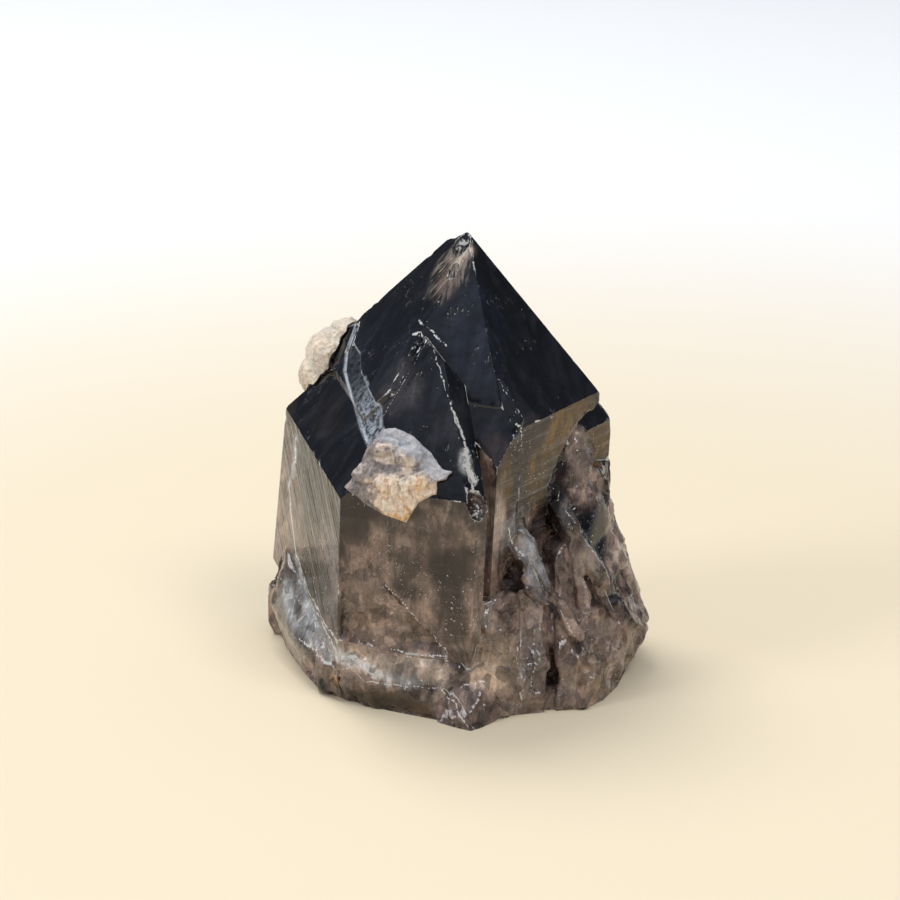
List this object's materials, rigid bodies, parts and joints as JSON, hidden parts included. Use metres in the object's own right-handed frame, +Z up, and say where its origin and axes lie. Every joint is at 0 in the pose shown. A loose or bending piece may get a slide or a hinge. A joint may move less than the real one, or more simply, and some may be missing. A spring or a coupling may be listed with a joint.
{
  "type": "smoky quartz crystal cluster",
  "caption": "Smoky quartz crystals grown together side by side, with pointed dark tips, on a broken base cut flat to stand on, with feldspar grown on them",
  "frame": {"origin": "centre of the stone's bounding box in X and Y, on the flat it stands on", "axes": "+Z up; the pictured front faces -Y; +X to the right as seen from the front"},
  "size_m": [0.0602, 0.0508, 0.0701],
  "materials": {
    "smoky_quartz": "glassy crystal faces, see-through smoky brown, milky and rough at the broken base",
    "feldspar_crust": "dull, pinkish grey to pale orange",
    "feldspar_knob": "dull, pale beige pink"
  },
  "bodies": {
    "root": {"smoky_quartz": "smoky_quartz", "feldspar_crust": "feldspar_crust", "feldspar_knob": "feldspar_knob"}
  },
  "joints": []
}
